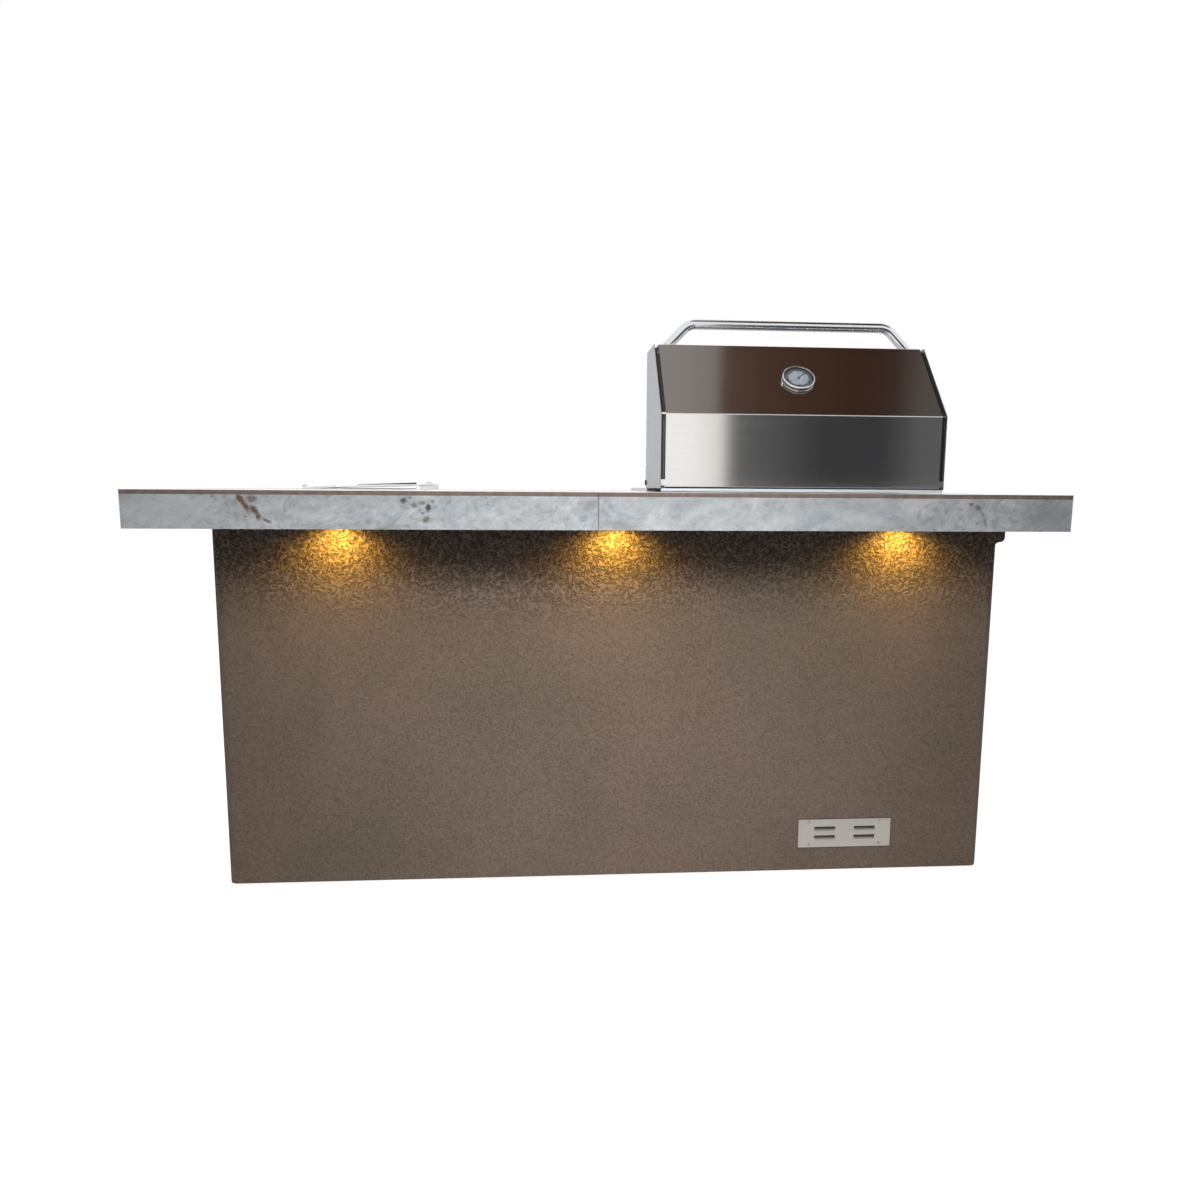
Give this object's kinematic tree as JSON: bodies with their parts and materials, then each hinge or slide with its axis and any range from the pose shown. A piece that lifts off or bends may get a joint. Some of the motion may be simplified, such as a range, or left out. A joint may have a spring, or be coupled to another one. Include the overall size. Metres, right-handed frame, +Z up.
{
  "type": "outdoor kitchen island",
  "caption": "Stucco outdoor kitchen island with a lit porcelain bar counter, a built-in gas grill with an open hood, an ice bin, doors and drawers.",
  "frame": {"origin": "centre of the bounding box in plan, at the floor under the levelling feet", "axes": "+X along the counter towards the grill's end, +Y from the bar side to the chef side, +Z up"},
  "size_m": [1.98, 1.0472, 1.3432],
  "materials": {
    "frame_steel": "satin",
    "foot_steel": "satin",
    "cement_board": "matte",
    "stucco": "matte",
    "stainless": "satin",
    "polished_steel": "polished",
    "handle_steel": "satin",
    "liner_steel": "satin",
    "plywood": "matte",
    "porcelain_top": "satin",
    "porcelain_band": "satin",
    "lamp_body": "satin",
    "lamp_lens": "satin",
    "white_plastic": "matte",
    "black_plastic": "gloss",
    "cable_jacket": "matte",
    "grate_iron": "matte",
    "gas_brass": "satin",
    "knob_metal": "satin",
    "dial_face": "matte",
    "needle_paint": "matte",
    "dial_glass": "gloss"
  },
  "bodies": {
    "island": {"base_frame": "frame_steel", "frame_posts": "frame_steel", "top_frame": "frame_steel", "overhang_brackets": "frame_steel", "levelling_feet": "foot_steel", "board_bar_side": "cement_board", "board_left_end": "cement_board", "board_right_end": "cement_board", "board_chef_side": "cement_board", "stucco_coat": "stucco", "end_corbel": "stucco", "vent_plates": "stainless", "vent_screws": "stainless", "counter_deck": "plywood", "soffit_board": "cement_board", "top_slab_left": "porcelain_top", "top_slab_right": "porcelain_top", "apron_bar_left": "porcelain_band", "apron_bar_right": "porcelain_band", "apron_ends": "porcelain_band", "apron_chef_side": "porcelain_band", "light_housings": "lamp_body", "light_lenses": "lamp_lens", "light_driver": "white_plastic", "light_cable": "cable_jacket", "ice_bin": "stainless", "ice_bin_jacket": "white_plastic", "ice_bin_lid_pins": "stainless", "grill_firebox": "stainless", "burners": "stainless", "flame_tamers": "stainless", "cooking_grates": "grate_iron", "warming_rack": "stainless", "gas_manifold": "gas_brass", "gas_supply_pipe": "gas_brass", "control_panel": "stainless", "knob_bezels": "polished_steel", "hood_hinge_pins": "foot_steel", "door_frame": "stainless", "door_pins": "stainless", "drawer_frame": "stainless"},
    "hood": {"hood_skin": "stainless", "hood_liner": "liner_steel", "hood_end_left": "stainless", "hood_end_right": "stainless", "hood_handle": "handle_steel", "thermometer_case": "polished_steel", "thermometer_dial": "dial_face", "thermometer_glass": "dial_glass"},
    "needle": {"thermometer_needle": "needle_paint"},
    "ice_lid": {"ice_bin_lid": "stainless"},
    "left_door": {"door_left": "stainless"},
    "right_door": {"door_right": "stainless"},
    "top_drawer": {"drawer_top": "stainless"},
    "bottom_drawer": {"drawer_bottom": "stainless"},
    "tray": {"drip_tray": "stainless"},
    "left_knob": {"knob_left": "knob_metal"},
    "middle_knob": {"knob_middle": "knob_metal"},
    "right_knob": {"knob_right": "knob_metal"},
    "igniter": {"igniter_button": "black_plastic"}
  },
  "joints": [
    {"name": "hood_hinge", "type": "hinge", "parent": "island", "child": "hood", "pos_m": [0.4735, 0.05135, 0.9367], "axis": [1, 0, 0], "range_deg": [-90, 0]},
    {"name": "thermometer_needle_turn", "type": "hinge", "parent": "hood", "child": "needle", "pos_m": [0.4735, -0.16815, 1.1867], "axis": [0, 0.7412, -0.6712], "range_deg": [0, 270]},
    {"name": "ice_lid_hinge", "type": "hinge", "parent": "island", "child": "ice_lid", "pos_m": [-0.7542, 0.15635, 0.9201], "axis": [0, -1, 0], "range_deg": [0, 100]},
    {"name": "door_left_hinge", "type": "hinge", "parent": "island", "child": "left_door", "pos_m": [0.146, 0.44905, 0.39], "axis": [0, 0, 1], "range_deg": [0, 110]},
    {"name": "door_right_hinge", "type": "hinge", "parent": "island", "child": "right_door", "pos_m": [0.801, 0.44905, 0.39], "axis": [0, 0, -1], "range_deg": [0, 110]},
    {"name": "drawer_top_slide", "type": "slide", "parent": "island", "child": "top_drawer", "axis": [0, 1, 0], "range_m": [0, 0.34]},
    {"name": "drawer_bottom_slide", "type": "slide", "parent": "island", "child": "bottom_drawer", "axis": [0, 1, 0], "range_m": [0, 0.34]},
    {"name": "drip_tray_slide", "type": "slide", "parent": "island", "child": "tray", "axis": [0, 1, 0], "range_m": [0, 0.33]},
    {"name": "left_knob_turn", "type": "hinge", "parent": "island", "child": "left_knob", "pos_m": [0.2565, 0.51, 0.862], "axis": [0, 1, 0], "range_deg": [0, 210]},
    {"name": "middle_knob_turn", "type": "hinge", "parent": "island", "child": "middle_knob", "pos_m": [0.4735, 0.51, 0.862], "axis": [0, 1, 0], "range_deg": [0, 210]},
    {"name": "right_knob_turn", "type": "hinge", "parent": "island", "child": "right_knob", "pos_m": [0.6905, 0.51, 0.862], "axis": [0, 1, 0], "range_deg": [0, 210]},
    {"name": "igniter_press", "type": "slide", "parent": "island", "child": "igniter", "axis": [0, -1, 0], "range_m": [0, 0.004], "stiffness_N_per_m": 600}
  ]
}
